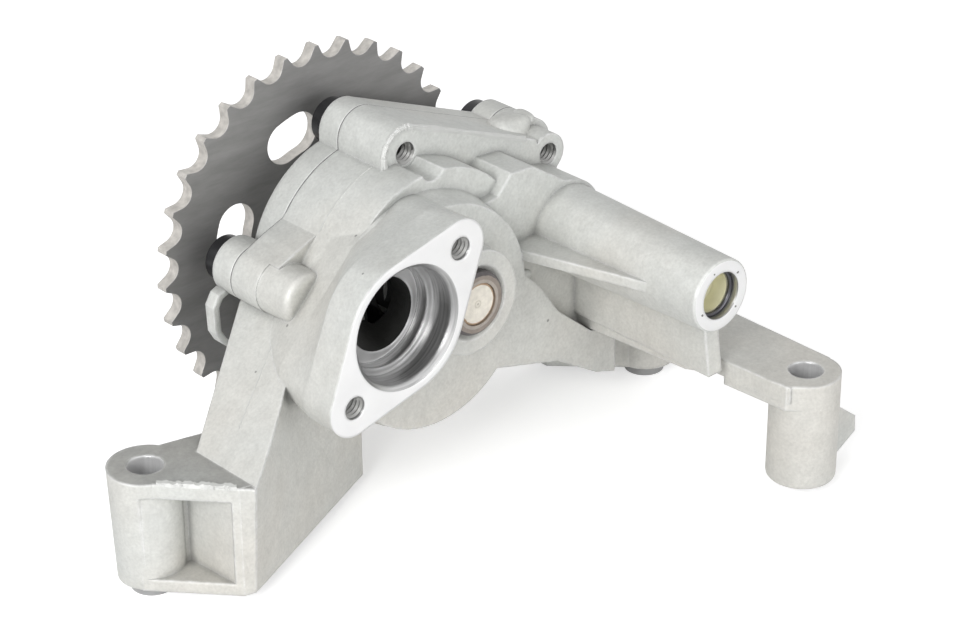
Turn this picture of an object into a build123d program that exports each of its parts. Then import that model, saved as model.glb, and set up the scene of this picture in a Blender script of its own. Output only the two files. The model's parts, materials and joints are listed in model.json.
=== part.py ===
from build123d import *
import math
import os

os.makedirs("parts", exist_ok=True)

# Engine oil pump: a die-cast body on three feet with a chain sprocket behind it, a bolted suction
# flange in front and a relief valve tube on the right.
# Origin: the left foot's bolt axis on the mounting face. Z is up, Y runs along the shaft and
# the sprocket is at +Y. A depth is measured from the sprocket's inner face towards the front, -Y.

# Shaft line and the depths of the faces along it
shaft_x = 69.0
shaft_z = 44.5
sprocket_y = 27.5
cover_back = 8.0
joint_face = 14.0
mould_face = 25.0
ear_front = 28.0
chamber_front = 36.5
tube_lobe_front = 39.0
lobe_front = 43.0
boss_front = 49.5
shaft_front = 50.5
flange_face = 55.0
tube_front = 84.0

# Fits and clearances
running_fit = 0.05
loose_fit = 0.3
rotor_side_fit = 0.06

# Rotor set
inner_lobes = 6
eccentricity = 1.9
lobe_circle_r = 18.0
lobe_r = 5.0
lobe_points = 24
rotor_rim = 1.5
rotor_length = 16.0
rotor_mesh_fit = 0.06

# Drive shaft and sprocket
shaft_r = 7.0
shaft_chamfer = 0.6
end_bore_r = 4.7
end_bore_depth = 6.0
end_plug_length = 3.5
plug_edge_r = 0.5
sprocket_teeth = 31
chain_pitch = 8.0
tooth_height = 1.85
tooth_root_r = 38.0
tooth_seat_r = 3.0
tooth_land = 0.9
tooth_reach = 0.2
sprocket_thickness = 2.9
slot_count = 6
slot_width = 9.4
slot_circle_r = 23.6
slot_arc = 10.0
slot_phase = 106.0
hub_r = 12.0
hub_front = 1.2
spigot_r = 5.5
spigot_flat = 4.4

# Sprocket bolt
sprocket_bolt_r = 4.0
sprocket_bolt_length = 20.0
sprocket_bolt_af = 13.0
sprocket_bolt_head = 5.3
washer_r = 10.0
washer_thickness = 2.0

# Cover bolts in the ears
ear_r = 6.2
ear_round = 1.5
right_ear_step = 22.0
right_ear_boss_r = 4.7
left_ear_front = 31.5
left_ear_draft = 1.3
top_ear_relief_r = 3.2
top_ear = (0.5, 26.2)
right_ear = (41.5, 13.0)
left_ear = (-29.0, 4.0)
low_ear = (20.0, -27.0)
bolt_r = 3.0
thread_r = 2.5
bolt_head_r = 5.0
bolt_head_height = 4.2
bolt_head_round = 0.5
bolt_socket_af = 5.0
bolt_socket_depth = 2.4
bolt_thread_length = 9.0
dowel_pin_r = 2.5
dowel_pin_length = 10.0
dowel_pins = [(15.0, 20.0), (29.5, -9.5)]

# Pump chamber and cover
chamber_wall = 5.5
cover_boss_r = 11.0
cover_boss_back = 1.6
bush_r = 8.5
bush_length = 12.0
skirt_thickness = 2.8
skirt_width = 1.4
low_lobe = (-4.5, -4.3)
low_lobe_r = 24.7
low_lobe_draft = 11.0
boss_r = 11.5
mouth_r = 8.3
port_inner_r = 10.6
port_outer_r = 16.4
port_depth = 5.5
port_arc = 112.0
shadow_depth = 1.5

# Suction flange
flange_centre = (-23.3, 5.0)
flange_angle = 41.5
flange_pcd = 38.0
flange_tip_r = 6.3
flange_mid_r = 15.3
flange_neck = 46.5
flange_back = 36.5
flange_root = 25.0
flange_hole_depth = 12.0
suction_mouth_r = 13.5
suction_r = 12.5
suction_depth = 6.5
suction_step_r = 11.0
suction_step_depth = 3.0
inlet_mouth_centre = (-22.0, 4.0)
inlet_centre = (-15.0, 1.0)
inlet_r = 8.0
inlet_end_r = 5.5
inlet_end_gap = 3.0

# Relief valve tube
tube_axis = (36.2, 1.7)
tube_r = 8.0
tube_draft = 1.78
tube_edge_r = 0.45
tube_lobe_r = 10.3
shelf_thickness = 2.3
rib_thickness = 4.0
relief_bore_r = 5.2
relief_seat_r = 3.2
relief_seat = 40.0
relief_chamber_back = 30.0
piston_length = 13.0
piston_wall = 1.2
piston_floor = 3.0
piston_stroke = 8.0
spring_r = 3.7
spring_wire_r = 0.55
spring_turns = 6
cup_length = 4.5
cup_wall = 0.8
cup_recess = 2.6
ring_wire_r = 0.5
bypass_r = 2.0
bypass_depth = 48.0

# Feet on the mounting face
foot_height = 25.0
foot_r = 7.0
foot_hole_r = 3.7
mid_foot = (137.0, -5.5)
front_foot = (123.8, -64.5)
pocket_low = 2.7
pocket_high = 21.7
pocket_boss_r = 7.2
sleeve_r = 4.5
sleeve_length = 9.0
sleeve_proud = 3.0
plate_thickness = 4.0
plate_edge = 5.8
foot_blend = 0.5
foot_draft = 1.0
left_foot_draft = 2.0
leg_sink = 2.0
tab_thickness = 2.5
outlet = (129.0, 8.0)
outlet_r = 5.5
outlet_depth = 6.0
gallery_r = 4.5


def front(depth):
    return Plane(origin=(shaft_x, sprocket_y - depth, shaft_z), x_dir=(1, 0, 0), z_dir=(0, -1, 0))


def level(height):
    return Plane.XY.offset(height)


def beside(foot, along, across):
    return (foot[0] + along, foot[1] + across)


def polar(radius, degrees):
    angle = math.radians(degrees)
    return (radius * math.cos(angle), radius * math.sin(angle))


rotor_outer_r = lobe_circle_r + rotor_rim
chamber_wall_r = rotor_outer_r + chamber_wall
rotor_back = joint_face + rotor_side_fit
chamber_floor = joint_face + rotor_length + 2 * rotor_side_fit
rotor_centre = (0.0, -eccentricity)
chamber_r = rotor_outer_r + running_fit
pitch_r = chain_pitch / (2 * math.sin(math.pi / sprocket_teeth))
tooth_tip_r = pitch_r + tooth_height
tooth_seat_circle_r = tooth_root_r + tooth_seat_r
tooth_gap_top = tooth_tip_r + tooth_reach - tooth_seat_circle_r
tooth_gap_half = (2 * math.pi * tooth_tip_r / sprocket_teeth - tooth_land) / 2 + tooth_reach
ears = [top_ear, right_ear, left_ear, low_ear]
flange_step = polar(flange_pcd / 2, flange_angle)
flange_high = (flange_centre[0] + flange_step[0], flange_centre[1] + flange_step[1])
flange_low = (flange_centre[0] - flange_step[0], flange_centre[1] - flange_step[1])
with BuildSketch(Plane.XY) as tooth_gap_shape:
    with BuildLine():
        CenterArc((0, 0), tooth_seat_r, 0, 360)
        Line((tooth_gap_top, -tooth_gap_half), (tooth_gap_top, tooth_gap_half))
    make_hull()
tooth_gap = tooth_gap_shape.sketch
cup_floor = tube_front - cup_recess - cup_length
tube_end = sprocket_y - tube_front
rib_back = sprocket_y - relief_chamber_back
tab_depth = sprocket_y - front_foot[1]
tab_root = front_foot[0] - shaft_x + foot_r - 1.8
ring_depth = tube_front - cup_recess + ring_wire_r

# Outline of the chamber with the webs to its ears, and the joint face with the ears
with BuildSketch() as web_shape:
    Circle(chamber_wall_r)
    with BuildLine():
        Polyline((top_ear[0] - ear_r, top_ear[1]), (top_ear[0] - ear_r, 10), (24, 0), (40, 8),
                 (38, 17.5), (3.3, 31.7), close=True)
    make_face()
    with BuildLine():
        Polyline((24, 10), (right_ear[0] + right_ear_boss_r, right_ear[1]),
                 (low_ear[0] + ear_r, low_ear[1]), (14, -20), close=True)
    make_face()

with BuildSketch() as joint_shape:
    add(web_shape.sketch)
    with Locations(*ears):
        Circle(ear_r)

# Suction and pressure ports, one each side of the shaft
with BuildSketch() as port_shape:
    with BuildLine():
        CenterArc((0, 0), port_outer_r, -port_arc / 2, port_arc)
        CenterArc((0, 0), port_inner_r, -port_arc / 2, port_arc)
        Line(polar(port_inner_r, port_arc / 2), polar(port_outer_r, port_arc / 2))
        Line(polar(port_inner_r, -port_arc / 2), polar(port_outer_r, -port_arc / 2))
    make_face()
    mirror(about=Plane.YZ)

# Leg from the left foot up to the suction flange
with BuildPart() as leg:
    with BuildSketch(level(0)) as leg_base:
        with BuildLine():
            Polyline((10.3, -20.6), (10.5, -3), (36, 13.5), (56, 13.5), (55.4, -1), close=True)
        make_face()
    with BuildSketch(level(shaft_z + leg_sink)) as leg_top:
        with BuildLine():
            Polyline((10, -23.8), (10.5, -3), (36, 13.5), (56, 13.5), (46, 3.6), close=True)
        make_face()
    loft(ruled=True)
    with BuildSketch(front(joint_face)) as leg_side:
        with BuildLine():
            Polyline(
                (-62, -shaft_z), (-62, foot_height - shaft_z), (-58.5, foot_height - shaft_z),
                (-29, leg_sink), (-8, leg_sink), (-12, -shaft_z), close=True,
            )
        make_face()
    extrude(amount=90, mode=Mode.INTERSECT)

# Left foot: the bolt boss with a block beside it that has a pocket in its open side
with BuildPart() as left_foot:
    with BuildSketch(level(0)) as left_boss_plan:
        Circle(foot_r)
    extrude(amount=foot_height, taper=-left_foot_draft)
    with BuildSketch(level(0)) as left_foot_plan:
        with BuildLine():
            Polyline((-5.7, -4.4), (7.8, -20), (10.3, -20.6), (24, -13), (20, 1), (15.9, 2),
                     (0.2, 5.9), close=True)
        make_face()
    extrude(amount=foot_height)
    with BuildSketch(level(pocket_low)) as pocket:
        with BuildLine():
            Polyline((-6, -5), (5.8, -5.4), (6.8, -18.5), (4, -25), (-12, -10), close=True)
        make_face()
        Circle(pocket_boss_r, mode=Mode.SUBTRACT)
    extrude(amount=pocket_high - pocket_low, mode=Mode.SUBTRACT)

# Right arm: plate and front foot, with the mid foot at its root
with BuildPart() as arm:
    with BuildSketch(level(foot_height - plate_thickness)) as arm_plan:
        with BuildLine():
            Polyline(beside(mid_foot, -29, 7.5), beside(mid_foot, -5, 7.5),
                     (mid_foot[0] - 5.5, front_foot[1]), front_foot, beside(front_foot, -8.1, -3),
                     beside(front_foot, -8.8, 1.5), beside(front_foot, -9.3, 16.5),
                     beside(front_foot, -12.8, 22.5), close=True)
        make_face()
        with Locations(front_foot):
            Circle(foot_r)
    extrude(amount=plate_thickness)
    # Deeper near edge of the plate, running into the front foot
    with BuildSketch(level(foot_height - plate_edge)) as plate_edge_plan:
        with BuildLine():
            CenterArc(front_foot, foot_r + foot_blend, 0, 360)
            Line(beside(front_foot, -9.3, 14.5), beside(front_foot, -8.4, -2))
        make_hull()
    extrude(amount=plate_edge)
    # Tab that stands out of the front foot's far side
    with BuildSketch(front(tab_depth)) as tab:
        with BuildLine():
            Polyline((tab_root, 13.5 - shaft_z), (tab_root + 5.5, 12.3 - shaft_z),
                     (tab_root + 12.2, 7.1 - shaft_z), (tab_root + 12.5, 3.2 - shaft_z),
                     (tab_root + 6.8, -shaft_z), (tab_root, -shaft_z), close=True)
        make_face()
    extrude(amount=-tab_thickness)
    with BuildSketch(level(0)) as feet_plan:
        with Locations(front_foot, mid_foot):
            Circle(foot_r)
    extrude(amount=foot_height, taper=-foot_draft)
    with BuildSketch(level(0)) as outlet_plan:
        with BuildLine():
            Polyline(beside(mid_foot, -20, 18.5), beside(mid_foot, 2, 18.5), beside(mid_foot, 6.5, 1.5),
                     beside(mid_foot, -2, -6.5), beside(mid_foot, -11, 2.5), beside(mid_foot, -20, 11.5),
                     close=True)
        make_face()
    extrude(amount=foot_height)

# Left ear: a blind, slightly conical boss with a rounded front
with BuildPart() as left_ear_boss:
    with BuildSketch(front(joint_face)) as left_ear_outline:
        with Locations(left_ear):
            Circle(ear_r)
    extrude(amount=left_ear_front - joint_face, taper=left_ear_draft)
    fillet(left_ear_boss.edges().sort_by(Axis.Y)[0], ear_round)

# Relief valve tube, wider towards the body
with BuildPart() as relief_tube:
    with BuildSketch(front(tube_front)) as tube_outline:
        with Locations(tube_axis):
            Circle(tube_r)
    extrude(amount=relief_chamber_back - tube_front, taper=-tube_draft)
    fillet(relief_tube.edges().sort_by(Axis.Y)[0], tube_edge_r)


def three_circles(depth, circles):
    with BuildSketch(front(depth)) as outline:
        with BuildLine():
            for centre, radius in circles:
                CenterArc(centre, radius, 0, 360)
        make_hull()
    return outline.sketch


# Suction body: lofted from the flange's outline back to the chamber
flange_circles = [(flange_high, flange_tip_r), (flange_centre, flange_mid_r), (flange_low, flange_tip_r)]
neck_circles = [(flange_high, flange_tip_r - 0.3), (flange_centre, flange_mid_r - 0.6),
                (flange_low, flange_tip_r - 0.3)]
back_circles = [((-7, 14), 8), ((-14, 6), 12), ((-36, -7), 5.5)]
root_circles = [((-8, 13), 8.5), ((-13, 5), 11.4), ((-31, -6), 5)]
with BuildPart() as suction_body:
    add(three_circles(flange_face, flange_circles))
    add(three_circles(flange_neck, neck_circles))
    add(three_circles(flange_back, back_circles))
    add(three_circles(flange_root, root_circles))
    loft(ruled=True)

with BuildPart() as pump_housing:
    # Joint flange with its ears, which end at different depths
    with BuildSketch(front(joint_face)) as base_outline:
        add(joint_shape.sketch)
    extrude(amount=right_ear_step - joint_face)
    with BuildSketch(front(right_ear_step)) as ear_outline:
        add(web_shape.sketch)
        with Locations(top_ear, low_ear):
            Circle(ear_r)
        with Locations(right_ear):
            Circle(right_ear_boss_r)
    extrude(amount=ear_front - right_ear_step)
    add(left_ear_boss.part)
    with BuildSketch(front(joint_face)) as left_web:
        with BuildLine():
            Polyline((-31.2, 9.8), (-26.3, 12), (-20.3, 14.2), (-20, 0), (-29, -2), close=True)
        make_face()
    extrude(amount=mould_face - joint_face)
    # Chamber, hollowed in front of the top ear
    with BuildSketch(front(joint_face)) as chamber_outline:
        Circle(chamber_wall_r)
    extrude(amount=chamber_front - joint_face)
    with BuildSketch(front(ear_front)) as top_ear_relief:
        with Locations(top_ear):
            Circle(top_ear_relief_r)
    extrude(amount=chamber_front - ear_front, mode=Mode.SUBTRACT)
    # Round lobe under the shaft boss
    with BuildSketch(front(joint_face)) as lobe_outline:
        with Locations(low_lobe):
            Circle(low_lobe_r)
    extrude(amount=chamber_front - joint_face)
    with BuildSketch(front(lobe_front)) as lobe_nose:
        with Locations(low_lobe):
            Circle(low_lobe_r)
    extrude(amount=chamber_front - lobe_front, taper=-low_lobe_draft)
    # Right side of the body, stepping down to the mid foot
    with BuildSketch(front(joint_face)) as right_outline:
        with BuildLine():
            Polyline((8, 14), (16.3, 15), (20.1, 19.1), (26.4, 18.6), (35.3, 12.7), (38.5, 11.2),
                     (46.5, 1.7), (48, -20), (48, -37), (42, -35), (30, -27.6), (10, -22), close=True)
        make_face()
        with Locations(tube_axis):
            Circle(tube_lobe_r)
    extrude(amount=tube_lobe_front - joint_face)
    with BuildSketch(front(joint_face)) as low_outline:
        with BuildLine():
            Polyline((8, 6), (18, -1), (24.6, -7.5), (30.3, -15.6), (40.3, -24), (48, -25.8), (48, -37),
                     (42, -35), (30, -27.6), (10, -22), (-10, -20), close=True)
        make_face()
    extrude(amount=lobe_front - joint_face)
    # Shaft boss
    with BuildSketch(front(chamber_front)) as boss_outline:
        Circle(boss_r)
    extrude(amount=boss_front - chamber_front)
    # Suction flange, narrowing towards the chamber
    add(suction_body.part)
    # Relief valve tube with its shelf and the rib under it
    add(relief_tube.part)
    with BuildSketch(level(shaft_z + tube_axis[1] - shelf_thickness / 2)) as shelf_plan:
        with BuildLine():
            Polyline((shaft_x + 14, sprocket_y - 36), (shaft_x + 18.5, sprocket_y - 40),
                     (shaft_x + tube_axis[0] - 7.6, tube_end + 10.5),
                     (shaft_x + tube_axis[0], tube_end + 10.5),
                     (shaft_x + tube_axis[0], sprocket_y - 36), close=True)
        make_face()
    extrude(amount=shelf_thickness)
    with BuildSketch(Plane.YZ.offset(shaft_x + tube_axis[0] + 2.8)) as rib_side:
        with BuildLine():
            Polyline((rib_back, shaft_z), (tube_end + 8, shaft_z), (tube_end + 5, foot_height - 1),
                     (rib_back, foot_height - 1), close=True)
        make_face()
    extrude(amount=rib_thickness)
    add(leg.part)
    add(left_foot.part)
    add(arm.part)
    # Rotor chamber, ports and shaft bore
    with BuildSketch(front(joint_face)) as chamber_void:
        with Locations(rotor_centre):
            Circle(chamber_r)
    extrude(amount=chamber_floor - joint_face, mode=Mode.SUBTRACT)
    with BuildSketch(front(chamber_floor)) as port_void:
        add(port_shape.sketch)
    extrude(amount=port_depth, mode=Mode.SUBTRACT)
    with BuildSketch(front(chamber_floor)) as shaft_void:
        Circle(shaft_r + running_fit)
    extrude(amount=boss_front - chamber_floor, mode=Mode.SUBTRACT)
    with BuildSketch(front(chamber_floor)) as front_bush_seat:
        Circle(bush_r)
    extrude(amount=bush_length, mode=Mode.SUBTRACT)
    with BuildSketch(front(boss_front)) as mouth_void:
        Circle(mouth_r)
    extrude(amount=shaft_r - mouth_r, taper=45, mode=Mode.SUBTRACT)
    with BuildSketch(front(joint_face)) as dowel_holes:
        with Locations(*dowel_pins):
            Circle(dowel_pin_r)
    extrude(amount=dowel_pin_length / 2, mode=Mode.SUBTRACT)
    # Suction bore in steps and its way into the chamber
    with BuildSketch(front(flange_face)) as suction_mouth:
        with Locations(flange_centre):
            Circle(suction_mouth_r)
    extrude(amount=suction_r - suction_mouth_r, taper=45, mode=Mode.SUBTRACT)
    with BuildSketch(front(flange_face)) as suction_void:
        with Locations(flange_centre):
            Circle(suction_r)
    extrude(amount=-suction_depth, mode=Mode.SUBTRACT)
    with BuildSketch(front(flange_face - suction_depth)) as suction_step_void:
        with Locations(flange_centre):
            Circle(suction_step_r)
    extrude(amount=-suction_step_depth, mode=Mode.SUBTRACT)
    with BuildSketch(front(flange_face - suction_depth - suction_step_depth)) as inlet_mouth:
        with Locations(inlet_mouth_centre):
            Circle(inlet_r)
    with BuildSketch(front(chamber_floor + inlet_end_gap)) as inlet_void:
        with Locations(inlet_centre):
            Circle(inlet_end_r)
    loft(mode=Mode.SUBTRACT)
    with BuildSketch(front(flange_face)) as flange_holes:
        with Locations(flange_high, flange_low):
            Circle(thread_r)
    extrude(amount=-flange_hole_depth, mode=Mode.SUBTRACT)
    # Relief bore, seat and bypass hole
    with BuildSketch(front(relief_seat)) as relief_void:
        with Locations(tube_axis):
            Circle(relief_bore_r)
    extrude(amount=tube_front - relief_seat, mode=Mode.SUBTRACT)
    with BuildSketch(front(ring_depth - ring_wire_r)) as ring_groove:
        with Locations(tube_axis):
            Circle(relief_bore_r + ring_wire_r / 2)
    extrude(amount=2 * ring_wire_r, mode=Mode.SUBTRACT)
    with BuildSketch(front(relief_chamber_back + 1)) as seat_void:
        with Locations(tube_axis):
            Circle(relief_seat_r)
    extrude(amount=relief_seat - relief_chamber_back, mode=Mode.SUBTRACT)
    with BuildSketch(Plane.YZ.offset(shaft_x + tube_axis[0])) as bypass_void:
        with Locations((sprocket_y - bypass_depth, shaft_z + tube_axis[1])):
            Circle(bypass_r)
    extrude(amount=tube_r + 1, mode=Mode.SUBTRACT)
    # Pressure gallery from the outlet at the mounting face to the pump and the relief seat
    gallery_end = Vector(shaft_x + 16, sprocket_y - 36, shaft_z - 7)
    gallery_start = Vector(outlet[0], outlet[1], outlet_depth)
    gallery_way = gallery_end - gallery_start
    with BuildSketch(Plane(origin=gallery_start, z_dir=gallery_way)) as gallery_void:
        Circle(gallery_r)
    extrude(amount=gallery_way.length, mode=Mode.SUBTRACT)
    with BuildSketch(level(0)) as outlet_void:
        with Locations(outlet):
            Circle(outlet_r)
    extrude(amount=outlet_depth, mode=Mode.SUBTRACT)
    with BuildSketch(level(foot_height - 3)) as relief_feed:
        with Locations((shaft_x + tube_axis[0], sprocket_y - relief_chamber_back - 3)):
            Circle(relief_seat_r - 0.4)
    extrude(amount=shaft_z + tube_axis[1] - foot_height + 3, mode=Mode.SUBTRACT)
    # Threaded holes in the ears and bolt holes with sleeve seats in the feet
    with BuildSketch(front(joint_face)) as ear_holes:
        with Locations(top_ear, right_ear, low_ear):
            Circle(thread_r)
    extrude(amount=ear_front - joint_face, mode=Mode.SUBTRACT)
    with BuildSketch(front(joint_face)) as blind_ear_hole:
        with Locations(left_ear):
            Circle(thread_r)
    extrude(amount=mould_face - joint_face, mode=Mode.SUBTRACT)
    with BuildSketch(level(0)) as foot_holes:
        with Locations((0, 0), mid_foot, front_foot):
            Circle(foot_hole_r)
    extrude(amount=foot_height, mode=Mode.SUBTRACT)
    with BuildSketch(level(0)) as sleeve_seats:
        with Locations((0, 0), mid_foot):
            Circle(sleeve_r)
    extrude(amount=sleeve_length - sleeve_proud, mode=Mode.SUBTRACT)


# Cover plate behind the rotors, with a bearing boss and a thin skirt at its lower left
with BuildPart() as pump_cover:
    with BuildSketch(front(cover_back)) as cover_outline:
        add(joint_shape.sketch)
    extrude(amount=joint_face - cover_back)
    with BuildSketch(front(cover_back)) as skirt_outline:
        with BuildLine():
            Polyline((-31, 2), (-36, 0), (-37.5, -2.5), (-37.2, -8.7), (-35.7, -11.4),
                                  (-32.7, -14.2), (-20, -18))
            offset(amount=skirt_width, side=Side.LEFT)
        make_face()
    extrude(amount=skirt_thickness)
    with BuildSketch(front(cover_back)) as cover_boss:
        Circle(cover_boss_r)
    extrude(amount=cover_boss_back - cover_back)
    with BuildSketch(front(cover_boss_back)) as cover_bore:
        Circle(bush_r)
    extrude(amount=joint_face - cover_boss_back, mode=Mode.SUBTRACT)
    with BuildSketch(front(cover_back)) as cover_holes:
        with Locations(*ears):
            Circle(bolt_r + loose_fit)
    extrude(amount=joint_face - cover_back, mode=Mode.SUBTRACT)
    with BuildSketch(front(joint_face)) as cover_dowel_holes:
        with Locations(*dowel_pins):
            Circle(dowel_pin_r)
    extrude(amount=-dowel_pin_length / 2, mode=Mode.SUBTRACT)
    # Shadow ports facing the rotors
    with BuildSketch(front(joint_face)) as shadow_ports:
        add(port_shape.sketch)
    extrude(amount=-shadow_depth, mode=Mode.SUBTRACT)

# Bearing bushes, one in the housing and one in the cover
with BuildPart() as front_bush:
    with BuildSketch(front(chamber_floor)) as front_bush_ring:
        Circle(bush_r)
        Circle(shaft_r + running_fit, mode=Mode.SUBTRACT)
    extrude(amount=bush_length)

with BuildPart() as rear_bush:
    with BuildSketch(front(cover_boss_back)) as rear_bush_ring:
        Circle(bush_r)
        Circle(shaft_r + running_fit, mode=Mode.SUBTRACT)
    extrude(amount=joint_face - cover_boss_back)

# Drive shaft with a flatted spigot for the sprocket and a bored front end
with BuildPart() as drive_shaft:
    with BuildSketch(front(hub_front)) as shaft_section:
        Circle(shaft_r)
    extrude(amount=shaft_front - hub_front)
    chamfer(drive_shaft.edges().sort_by(Axis.Y)[0], shaft_chamfer)
    with BuildSketch(front(hub_front)) as spigot_section:
        Circle(spigot_r)
        Rectangle(2 * spigot_flat, 2 * spigot_r, mode=Mode.INTERSECT)
    extrude(amount=-(hub_front + sprocket_thickness - loose_fit))
    with BuildSketch(front(loose_fit - sprocket_thickness)) as shaft_thread:
        Circle(sprocket_bolt_r)
    extrude(amount=sprocket_bolt_length, mode=Mode.SUBTRACT)
    with BuildSketch(front(shaft_front)) as shaft_end_bore:
        Circle(end_bore_r)
    extrude(amount=-end_bore_depth, mode=Mode.SUBTRACT)

# Domed disc that closes the shaft's bored end
with BuildPart() as shaft_end_plug:
    with BuildSketch(front(shaft_front - loose_fit)) as plug_section:
        Circle(end_bore_r)
    extrude(amount=-end_plug_length)
    fillet(shaft_end_plug.edges().sort_by(Axis.Y)[0], plug_edge_r)


def rotor_point(turn):
    lobes = inner_lobes + 1
    radius = lobe_r + rotor_mesh_fit
    swing = math.atan2(
        math.sin(-inner_lobes * turn),
        lobe_circle_r / (eccentricity * lobes) - math.cos(inner_lobes * turn),
    )
    along = (lobe_circle_r * math.cos(turn) - radius * math.cos(turn + swing)
             - eccentricity * math.cos(lobes * turn))
    across = (radius * math.sin(turn + swing) - lobe_circle_r * math.sin(turn)
              + eccentricity * math.sin(lobes * turn))
    return (-across, along)


# Inner rotor: the curve that rolls inside the outer rotor's round lobes
rotor_turns = [
    2 * math.pi * step / (inner_lobes * lobe_points) for step in range(inner_lobes * lobe_points)
]
with BuildPart() as inner_rotor:
    with BuildSketch(front(rotor_back)) as inner_profile:
        with BuildLine():
            Spline(*[rotor_point(turn) for turn in rotor_turns], periodic=True)
        make_face()
        Circle(shaft_r, mode=Mode.SUBTRACT)
    extrude(amount=rotor_length)

# Outer rotor: a ring with one lobe more than the inner rotor
with BuildPart() as outer_rotor:
    with BuildSketch(front(rotor_back)) as outer_ring:
        with Locations(rotor_centre):
            Circle(rotor_outer_r)
    extrude(amount=rotor_length)
    with BuildSketch(front(rotor_back)) as outer_void:
        with Locations(rotor_centre):
            Circle(lobe_circle_r - lobe_r + 2 * eccentricity + rotor_mesh_fit)
            with PolarLocations(lobe_circle_r, inner_lobes + 1, start_angle=90):
                Circle(lobe_r, mode=Mode.SUBTRACT)
    extrude(amount=rotor_length, mode=Mode.SUBTRACT)

# Chain sprocket: a flat toothed disc with oval slots and a thin hub
with BuildPart() as chain_sprocket:
    with BuildSketch(front(0)) as sprocket_disc:
        Circle(tooth_tip_r)
    extrude(amount=-sprocket_thickness)
    with BuildSketch(front(0)) as hub_disc:
        Circle(hub_r)
    extrude(amount=hub_front)
    with BuildSketch(front(-sprocket_thickness)) as tooth_gaps:
        with PolarLocations(tooth_seat_circle_r, sprocket_teeth, start_angle=slot_phase):
            add(tooth_gap)
    extrude(amount=sprocket_thickness, mode=Mode.SUBTRACT)
    with BuildSketch(front(-sprocket_thickness)) as slots:
        with BuildLine():
            slot_centre = CenterArc((0, 0), slot_circle_r, slot_phase - slot_arc / 2, slot_arc,
                                    mode=Mode.PRIVATE)
        with PolarLocations(0, slot_count):
            SlotArc(slot_centre, slot_width)
    extrude(amount=sprocket_thickness, mode=Mode.SUBTRACT)
    with BuildSketch(front(-sprocket_thickness)) as sprocket_hole:
        Circle(spigot_r + running_fit)
        Rectangle(2 * (spigot_flat + running_fit), 2 * spigot_r + 1, mode=Mode.INTERSECT)
    extrude(amount=sprocket_thickness + hub_front, mode=Mode.SUBTRACT)

# Washer and bolt that hold the sprocket on the shaft
with BuildPart() as sprocket_washer:
    with BuildSketch(front(-sprocket_thickness)) as washer_ring:
        Circle(washer_r)
        Circle(sprocket_bolt_r + loose_fit, mode=Mode.SUBTRACT)
    extrude(amount=-washer_thickness)

bolt_seat = -sprocket_thickness - washer_thickness
with BuildPart() as sprocket_bolt:
    with BuildSketch(front(bolt_seat)) as sprocket_bolt_head_outline:
        RegularPolygon(sprocket_bolt_af / 2, 6, major_radius=False)
    extrude(amount=-sprocket_bolt_head)
    with BuildSketch(front(bolt_seat)) as sprocket_bolt_shank:
        Circle(sprocket_bolt_r)
    extrude(amount=sprocket_bolt_length)

# Four round-headed socket bolts through the cover's ears
with BuildPart() as cover_bolts:
    with BuildSketch(front(cover_back)) as bolt_heads:
        with Locations(*ears):
            Circle(bolt_head_r)
    extrude(amount=-bolt_head_height)
    fillet(cover_bolts.edges().group_by(Axis.Y)[-1], bolt_head_round)
    with BuildSketch(front(cover_back - bolt_head_height)) as bolt_sockets:
        with Locations(*ears):
            RegularPolygon(bolt_socket_af / 2, 6, major_radius=False)
    extrude(amount=bolt_socket_depth, mode=Mode.SUBTRACT)
    with BuildSketch(front(cover_back)) as bolt_shanks:
        with Locations(*ears):
            Circle(bolt_r)
    extrude(amount=joint_face - cover_back)
    with BuildSketch(front(joint_face)) as bolt_threads:
        with Locations(*ears):
            Circle(thread_r)
    extrude(amount=bolt_thread_length)

# Dowel pins between housing and cover
with BuildPart() as cover_dowels:
    with BuildSketch(front(joint_face - dowel_pin_length / 2)) as dowel_pin_outline:
        with Locations(*dowel_pins):
            Circle(dowel_pin_r)
    extrude(amount=dowel_pin_length)

# Relief valve: cup piston, spring, pressed-in cup and wire ring
with BuildPart() as relief_piston:
    with BuildSketch(front(relief_seat)) as piston_outline:
        with Locations(tube_axis):
            Circle(relief_bore_r - running_fit)
    extrude(amount=piston_length)
    with BuildSketch(front(relief_seat + piston_floor)) as piston_void:
        with Locations(tube_axis):
            Circle(relief_bore_r - running_fit - piston_wall)
    extrude(amount=piston_length - piston_floor, mode=Mode.SUBTRACT)

spring_start = relief_seat + piston_floor + spring_wire_r
spring_travel = cup_floor - spring_wire_r - spring_start
with BuildPart() as relief_spring:
    with BuildLine() as spring_path:
        coil = Helix(spring_travel / spring_turns, spring_travel, spring_r - spring_wire_r,
                     center=(shaft_x + tube_axis[0], sprocket_y - spring_start, shaft_z + tube_axis[1]),
                     direction=(0, -1, 0))
    with BuildSketch(Plane(origin=coil @ 0, z_dir=coil % 0)) as wire_section:
        RegularPolygon(spring_wire_r, 6)
    sweep(path=coil, is_frenet=True)

with BuildPart() as relief_cup:
    with BuildSketch(front(cup_floor)) as cup_outline:
        with Locations(tube_axis):
            Circle(relief_bore_r)
    extrude(amount=cup_length)
    with BuildSketch(front(cup_floor + cup_wall)) as cup_void:
        with Locations(tube_axis):
            Circle(relief_bore_r - cup_wall)
    extrude(amount=cup_length - cup_wall, mode=Mode.SUBTRACT)

with BuildPart() as relief_ring:
    with BuildLine(front(ring_depth)) as ring_path:
        ring_arc = CenterArc(tube_axis, relief_bore_r - ring_wire_r / 2, -150, 300)
    with BuildSketch(Plane(origin=ring_arc @ 0, z_dir=ring_arc % 0)) as ring_section:
        Circle(ring_wire_r)
    sweep(path=ring_arc)


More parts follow.
